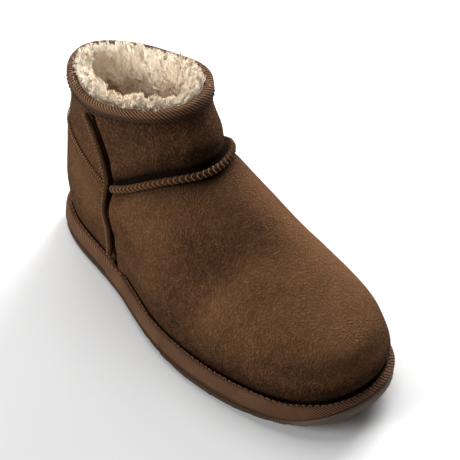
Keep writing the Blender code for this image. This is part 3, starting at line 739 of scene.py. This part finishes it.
def stitch_row(name, tree, guide, centre, sunk=0.25):
    """Row of short stitches laid on a surface along a guide line.

    They are laid on from outside, toward the centre, or from above where the centre is None.
    """
    places = []
    for point in guide:
        aim = Vector((0.0, 0.0, -1.0))
        if centre is not None:
            aim = Vector((centre[0] - point[0], centre[1] - point[1], 0.0)).normalized()
        hit, normal, _, _ = tree.ray_cast(Vector(point) - aim * 0.03, aim)
        if hit:
            places.append((hit, normal if normal.dot(aim) < 0 else -normal))
    thick = sizes().thread
    sections = ((-0.5, 0.2), (-0.38, 0.9), (0.0, 1.0), (0.38, 0.9), (0.5, 0.2))
    sides = 6
    vertices, faces = [], []
    for number, (here, normal) in enumerate(places):
        after = places[(number + 1) % len(places)][0]
        along = (after - here).normalized()
        across = normal.cross(along).normalized()
        reach = min((after - here).length, 1.5 * sizes().stitch_pitch) * 0.72
        base = len(vertices)
        for part, size in sections:
            middle = here + along * part * reach + normal * thick * (0.5 * size - sunk)
            for k in range(sides):
                angle = math.tau * k / sides
                ray = across * math.cos(angle) + normal * math.sin(angle)
                vertices.append(middle + ray * thick * 0.5 * size)
        for i in range(len(sections) - 1):
            for k in range(sides):
                low, beside = base + i * sides + k, base + i * sides + (k + 1) % sides
                faces.append((low, beside, beside + sides, low + sides))
        faces.append(tuple(base + k for k in range(sides))[::-1])
        faces.append(tuple(base + (len(sections) - 1) * sides + k for k in range(sides)))
    return mesh_piece(name, vertices, faces)


def make_foxing():
    """Platform's band: ribbed twill above, a smooth strip that stands out a little below."""
    piece = subdivide(node_copy("foxing_band", "foxing_tape"), 2, math.radians(60))
    points, normals = points_of(piece)
    lap = Lap(points[np.abs(normals[:, 2]) < 0.3], 120)
    pitch = sizes().foxing_pitch
    away = points[:, :2] - lap.centre[:2]
    away /= np.linalg.norm(away, axis=1)[:, None]
    drop = top_edge("foxing_band").beside(points)[:, 2] - points[:, 2]
    strip = np.clip((drop - STRIP_DROP) / 0.0008, 0, 1) * ((normals[:, :2] * away).sum(axis=1) > 0.2)
    points[:, :2] += away * (STRIP_STEP * strip)[:, None]
    move_points(piece, points)
    put_lap(piece, "along", lap.share(points))
    put_attribute(piece, "across", points[:, 2] + 0.5 * np.abs(normals[:, 2]) * 0.004)
    put_attribute(piece, "flat", strip)
    ribs = round(lap.length / pitch)
    twill = twill_finish("foxing_twill", tuple(colours().foxing), ribs, 1.0 / pitch, 0.0007, 0.20)
    finish_piece(piece, twill, "foxing_twill", "foxing_band")
    shares = np.arange(0.0, 1.0, sizes().stitch_pitch / lap.length)
    guide = top_edge("foxing_band").beside(lap.at(shares))
    inward = unit((lap.centre - guide) * FLAT)
    row = stitch_row("foxing_stitches", surface_tree(piece.data), guide + FOXING_STITCHES * inward, None)
    finish_piece(row, thread_finish("foxing_thread", scaled(colours().foxing, 1.35)), "foxing_twill")


def make_outsole():
    """Rubber outsole, and the board that closes the platform behind it, painted near black as shade for the
    gaps round the platform.
    """
    piece = subdivide(node_copy("outsole", "rubber_outsole"), 1, math.radians(25))
    finish_piece(piece, rubber_finish(), "outsole_rubber", "outsole")
    board = node_copy("midsole", "midsole_board")
    # Painted shade: the board takes the crevice colour
    dark = Finish("midsole_foam", roughness=1.0, specular=0.02)
    dark.colour(tuple(colours().crevice_shade))
    finish_piece(board, dark.material, "midsole_foam", "midsole")


def wrap_loops(name, path, length, row, tree):
    """Thread wound round a seam's bar in loops that lean to and fro, as one mesh."""
    thread = sizes().thread
    count = int(length / (sizes().overlock_pitch * row.pitch))
    vertices, faces = [], []
    around, rim = 14, 5
    for number in range(count):
        place = (number + 0.5) / count * (len(path) - 1)
        i = int(place)
        here = Vector(path[i] + (path[min(i + 1, len(path) - 1)] - path[i]) * (place - i))
        tangent = Vector(path[min(i + 1, len(path) - 1)] - path[max(i - 1, 0)]).normalized()
        near, normal, _, _ = tree.find_nearest(here)
        out = normal if normal.dot(here - near) >= 0 else -normal
        here = near + out * min((here - near).length, max(row.stand, 0.0002))
        side = tangent.cross(out).normalized()
        out = side.cross(tangent).normalized()
        here += side * math.copysign(row.aft, side.y)
        base = len(vertices)
        for k in range(around):
            angle = math.tau * k / around
            lean = row.lean * abs(math.cos(angle))
            middle = (here + side * (row.across * math.cos(angle)) + out * (row.tall * math.sin(angle))
                      + tangent * lean)
            ray = (side * math.cos(angle) + out * math.sin(angle)).normalized()
            for r in range(rim):
                turn = math.tau * r / rim
                vertices.append(middle + (ray * math.cos(turn) + tangent * math.sin(turn)) * thread * 0.5)
        for k in range(around):
            for r in range(rim):
                a = base + k * rim + r
                b = base + k * rim + (r + 1) % rim
                c = base + ((k + 1) % around) * rim + (r + 1) % rim
                d = base + ((k + 1) % around) * rim + r
                faces.append((a, b, c, d))
    return mesh_piece(name, vertices, faces)


def settle(piece, tree, most):
    """Bring points that lie more than a distance from a surface back to that distance."""
    points = points_of(piece)[0]
    for i, point in enumerate(points):
        near, _, _, distance = tree.find_nearest(Vector(point))
        if distance > most:
            points[i] = np.array(near) + (point - np.array(near)) * most / distance
    move_points(piece, points)


def make_seams(upper):
    """Raised seams: their edges, settled on the suede, and the thread wound round them."""
    edge, thread = seam_edge_finish(), thread_finish("thread", tuple(colours().thread))
    tree = surface_tree(upper.data)
    for row in SEAM_ROWS:
        bar = subdivide(node_copy(row.node, row.node + "_edge"), 1)
        settle(bar, tree, row.stand + 0.0016)
        finish_piece(bar, edge, "seam_edge", row.node)
        path, length = seam_path(row.node, row.order)
        loops = wrap_loops(row.node + "_thread", path, length, row, tree)
        finish_piece(loops, thread, "seam_edge")


def make_insole():
    """Wool-covered insole in one even tone."""
    piece = subdivide(node_copy("insole", "fleece_insole"), 1)
    put_attribute(piece, "tip", np.full(len(piece.data.vertices), 0.45))
    put_attribute(piece, "tone", np.full(len(piece.data.vertices), 0.70))
    finish_piece(piece, wool_finish("insole_wool"), "fleece", "insole")


def make_wool():
    """Wool lining: a tufted base, and strands in clumps that stand on it."""
    random = np.random.default_rng(5)
    base = subdivide(node_copy("fleece_lining", "wool_base"), 2)
    points, normals = points_of(base)
    inward = -outward_of(points, normals)
    inner = (normals * inward).sum(axis=1) > 0
    tufts = points[random.choice(np.flatnonzero(inner), TUFTS, replace=False)]
    near = nearest_distance(points, tufts)[0]
    dome = np.sqrt(np.clip(1.0 - (near / TUFT_WIDTH) ** 2, 0.0, 1.0))
    move_points(base, points + inward * (inner * TUFT_RISE * dome)[:, None])
    put_attribute(base, "tip", 0.45 + 0.45 * dome)
    # The tone here is painted shade, darker deep in the shaft
    put_attribute(base, "tone", depth_shade(points))
    finish_piece(base, wool_finish("wool_base"), "fleece", "fleece_lining")
    for name, part in (("wool_rim", rim_share), ("wool_inside", inside_share)):
        strands = wool_strands(name, sizes().wool_strands, part, random)
        finish_piece(strands, wool_finish(name), "fleece")


def level(points):
    """Height with the slope of the lining's mouth taken out."""
    return points[:, 2] + MOUTH_SLOPE * points[:, 1]


def rim_share(points):
    """1 at the lining's mouth, 0 below its rim."""
    return np.clip((level(points) - RIM_LOW) / RIM_BAND, 0.0, 1.0)


def inside_share(points):
    """1 in the shaft below the mouth, fading to 0 on the way to the foot."""
    shaft = np.clip((points[:, 2] - SHAFT_LOW) / SHAFT_BAND, 0, 1) * (points[:, 1] > SHAFT_FRONT)
    return (1.0 - rim_share(points)) * shaft


def depth_shade(points):
    """Painted shade deep in the shaft: 1 at the lining's mouth, falling to 0 deep in the shaft."""
    return np.clip((level(points) - SHADE_FADE_LOW) / SHADE_FADE_BAND, 0.0, 1.0)


def nearest_distance(points, others, block=2000):
    """Distance from each point to the nearest of the others, and which one that is."""
    distance, which = np.empty(len(points)), np.empty(len(points), int)
    for start in range(0, len(points), block):
        away = np.linalg.norm(points[start:start + block, None] - others[None], axis=2)
        which[start:start + block] = away.argmin(axis=1)
        distance[start:start + block] = away.min(axis=1)
    return distance, which


def unit(vectors):
    """Rows brought to length 1."""
    return vectors / np.linalg.norm(vectors, axis=1)[:, None]


def strand_roots(count, part, random):
    """Random roots on one part of the lining's inner face and mouth.

    With each root come the way out of the wool there and the level way to the shaft's middle.
    """
    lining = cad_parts["fleece_lining"].data
    lining.calc_loop_triangles()
    places = column(lining.vertices, "co")
    corners = places[np.array([tuple(face.vertices) for face in lining.loop_triangles])]
    cross = np.cross(corners[:, 1] - corners[:, 0], corners[:, 2] - corners[:, 0])
    area = np.linalg.norm(cross, axis=1) / 2
    normal = cross / (2 * area[:, None] + 1e-12)
    middle = corners.mean(axis=1)
    to_centre = unit((SHAFT_CENTRE - middle) * FLAT)
    facing = (normal * to_centre).sum(axis=1)
    mouth = middle[:, 2] > top_edge("collar_binding").beside(middle)[:, 2] - MOUTH_DEPTH
    weight = area * part(middle) * ((facing > 0.1) | mouth)
    face = random.choice(len(area), size=count, p=weight / weight.sum())
    u, v = random.random(count), random.random(count)
    over = u + v > 1
    u[over], v[over] = 1 - u[over], 1 - v[over]
    root = (corners[face, 0] * (1 - u - v)[:, None] + corners[face, 1] * u[:, None]
            + corners[face, 2] * v[:, None])
    out = unit(normal[face] + 0.6 * to_centre[face])
    return root + out * ROOT_HEIGHT, out, to_centre[face]


def ribbons(name, root, bend, tip, side, wave):
    """Flat strands that taper and curl along curves from root over bend to tip, as one mesh."""
    count = len(root)
    vertices = np.empty((count, STRAND_STEPS, 2, 3))
    for k in range(STRAND_STEPS):
        share = k / (STRAND_STEPS - 1)
        line = (1 - share) ** 2 * root + 2 * share * (1 - share) * bend + share ** 2 * tip
        curl = 0.0005 * share * np.sin(wave + share * 7.0)[:, None] * side
        half = 0.5 * sizes().hair_width * (1.0 - 0.6 * share)
        vertices[:, k, 0] = line + curl - side * half
        vertices[:, k, 1] = line + curl + side * half
    corner = np.arange(count)[:, None] * (2 * STRAND_STEPS) + np.arange(STRAND_STEPS - 1)[None] * 2
    faces = np.stack([corner, corner + 1, corner + 3, corner + 2], axis=2).reshape(-1, 4)
    return mesh_piece(name, vertices.reshape(-1, 3).tolist(), faces.tolist())


def wool_strands(name, count, part, random):
    """Strands that grow from one part of the lining in clumps, shaded by softened normals."""
    root, out, to_centre = strand_roots(count, part, random)
    clump_count = count // STRANDS_PER_CLUMP
    chosen = random.choice(count, clump_count, replace=False)
    nearest = nearest_distance(root, root[chosen])[1]
    reach = sizes().wool_length * random.uniform(0.7, 1.1, clump_count)

    # Clumps stand out of the wall, upward, and at the mouth a little over the tape
    rim = rim_share(root[chosen])
    aim = out[chosen] * (1.0 - 0.3 * rim)[:, None] + random.normal(0, 0.28, (clump_count, 3))
    aim = aim + UP * (0.35 + 0.45 * rim)[:, None]
    aim = unit(aim - to_centre[chosen] * (0.45 * rim)[:, None])
    clump_tip = root[chosen] + aim * reach[:, None]

    # Each strand goes partly its own way and partly to its clump's tip
    own = root + unit(aim[nearest] + random.normal(0, 0.25, (count, 3))) * reach[nearest][:, None]
    tip = 0.45 * clump_tip[nearest] + 0.55 * own
    bend = root + out * (0.55 * reach[nearest])[:, None] + random.normal(0, 0.0006, (count, 3))
    soft = unit(out + 0.35 * UP + 0.12 * random.normal(0, 1, (count, 3)))
    side = unit(np.cross(tip - root, soft + random.normal(0, 0.3, (count, 3))))
    wave = random.uniform(0, math.tau, count)
    piece = ribbons(name, root, bend, tip, side, wave)
    put_attribute(piece, "tip", np.tile(np.repeat(np.linspace(0.5, 1, STRAND_STEPS), 2), count))
    # Painted shade deep in the shaft, plus each clump's and strand's own random tone
    tone = depth_shade(root) + random.normal(0, 0.12, clump_count)[nearest] + random.normal(0, 0.10, count)
    put_attribute(piece, "tone", np.repeat(tone, 2 * STRAND_STEPS))
    piece.data.normals_split_custom_set_from_vertices(np.repeat(soft, 2 * STRAND_STEPS, axis=0).tolist())
    return piece


# Stage


def point_at(thing, target):
    thing.rotation_euler = (Vector(target) - thing.location).to_track_quat("-Z", "Y").to_euler()


def area_light(name, place, target, size, power):
    """Round soft lamp, turned to its target."""
    data = bpy.data.lights.new(name, "AREA")
    data.shape = "DISK"
    data.size = size
    data.energy = power
    lamp = bpy.data.objects.new(name, data)
    lamp.location = place
    bpy.context.scene.collection.objects.link(lamp)
    point_at(lamp, target)


VIEW_AZIMUTH = math.radians(-42.54)
VIEW_ELEVATION = math.radians(42.40)
VIEW_DISTANCE = 1.0
VIEW_TARGET = Vector((-0.003, -0.086, 0.050))
VIEW_ENLARGE = 1.12
PHOTO_SIZE = 460
PHOTO_FOCAL = 1485.0
# How far the frame's middle lies off the lens axis, in pixels of the photo
PHOTO_SHIFT = (31.0, 8.0)
FLOOR_SIZE = 6.0
FLOOR_TONE = 0.74
WORLD_STRENGTH = 0.11
# Lamps: place, size and power
LAMPS = {
    "overhead": ((0.20, 0.50, 1.5), 1.2, 18.0),
    "left": ((-1.4, 0.50, 0.60), 0.9, 28.0),
    "right": ((1.3, 0.35, 0.65), 0.9, 44.0),
}


def make_camera():
    """Camera at the photo's angle, framed on the boot."""
    data = bpy.data.cameras.new("camera")
    data.sensor_width = 36.0
    data.lens = 36.0 * PHOTO_FOCAL * VIEW_ENLARGE / PHOTO_SIZE
    data.shift_x = PHOTO_SHIFT[0] * VIEW_ENLARGE / PHOTO_SIZE
    data.shift_y = PHOTO_SHIFT[1] * VIEW_ENLARGE / PHOTO_SIZE
    camera = bpy.data.objects.new("camera", data)
    back = Vector((math.sin(VIEW_AZIMUTH) * math.cos(VIEW_ELEVATION),
                   -math.cos(VIEW_AZIMUTH) * math.cos(VIEW_ELEVATION), math.sin(VIEW_ELEVATION)))
    camera.location = VIEW_TARGET + back * VIEW_DISTANCE
    camera.rotation_euler = (-back).to_track_quat("-Z", "Y").to_euler()
    bpy.context.scene.collection.objects.link(camera)
    bpy.context.scene.camera = camera


def make_stage():
    """Pale floor, three soft lamps, an even sky and the camera."""
    deselect_all()
    bpy.ops.mesh.primitive_plane_add(size=FLOOR_SIZE, location=(0.0, -0.1, 0.0))
    floor = bpy.context.object
    floor.name = "floor"
    finish = Finish("floor", roughness=0.9, specular=0.1)
    finish.colour((FLOOR_TONE, FLOOR_TONE, FLOOR_TONE))
    floor.data.materials.append(finish.material)
    for name, (place, size, power) in LAMPS.items():
        area_light(name, place, (0.0, -0.09, 0.05), size, power)
    world = bpy.data.worlds.new("studio")
    world.use_nodes = True
    background = world.node_tree.nodes["Background"]
    background.inputs["Color"].default_value = (1.0, 1.0, 1.0, 1.0)
    background.inputs["Strength"].default_value = WORLD_STRENGTH
    bpy.context.scene.world = world
    bpy.context.scene.view_settings.view_transform = "Standard"
    make_camera()


class BOOT_OT_stage(bpy.types.Operator):
    """Floor, soft studio light and the camera"""
    bl_idname = "boot.stage"
    bl_label = "Stage"

    def execute(self, context):
        make_stage()
        return {"FINISHED"}


class BOOT_OT_upper(bpy.types.Operator):
    """Suede upper with its folds"""
    bl_idname = "boot.upper"
    bl_label = "Suede upper"

    def execute(self, context):
        make_upper()
        return {"FINISHED"}


class BOOT_OT_seams(bpy.types.Operator):
    """Raised seams and their thread"""
    bl_idname = "boot.seams"
    bl_label = "Seams"

    def execute(self, context):
        make_seams(bpy.data.objects["suede_upper"])
        return {"FINISHED"}


class BOOT_OT_tape(bpy.types.Operator):
    """Ribbed tape round the collar"""
    bl_idname = "boot.tape"
    bl_label = "Collar tape"

    def execute(self, context):
        make_tape()
        return {"FINISHED"}


class BOOT_OT_sole(bpy.types.Operator):
    """Outsole and twill foxing"""
    bl_idname = "boot.sole"
    bl_label = "Sole"

    def execute(self, context):
        make_outsole()
        make_foxing()
        return {"FINISHED"}


class BOOT_OT_wool(bpy.types.Operator):
    """Wool lining and insole"""
    bl_idname = "boot.wool"
    bl_label = "Wool"

    def execute(self, context):
        make_insole()
        make_wool()
        return {"FINISHED"}


OPERATORS = (BOOT_OT_stage, BOOT_OT_upper, BOOT_OT_seams, BOOT_OT_tape, BOOT_OT_sole, BOOT_OT_wool)


class BOOT_PT_panel(bpy.types.Panel):
    """Lists the boot's pieces"""
    bl_idname = "BOOT_PT_panel"
    bl_label = "Boot"
    bl_space_type = "VIEW_3D"
    bl_region_type = "UI"
    bl_category = "Boot"

    def draw(self, context):
        for operator in OPERATORS:
            self.layout.operator(operator.bl_idname)
        for group in (context.scene.boot_sizes, context.scene.boot_colours):
            box = self.layout.box()
            for name in group.bl_rna.properties.keys():
                if name not in ("rna_type", "name"):
                    box.prop(group, name)


CLASSES = (BootSizes, BootColours, *OPERATORS, BOOT_PT_panel)


def register():
    for item in CLASSES:
        bpy.utils.register_class(item)
    bpy.types.Scene.boot_sizes = bpy.props.PointerProperty(type=BootSizes)
    bpy.types.Scene.boot_colours = bpy.props.PointerProperty(type=BootColours)


def unregister():
    del bpy.types.Scene.boot_colours
    del bpy.types.Scene.boot_sizes
    for item in reversed(CLASSES):
        bpy.utils.unregister_class(item)


def main():
    register()
    bpy.ops.boot.stage()
    bpy.ops.boot.upper()
    bpy.ops.boot.seams()
    bpy.ops.boot.tape()
    bpy.ops.boot.sole()
    bpy.ops.boot.wool()


if __name__ == "__main__":
    main()
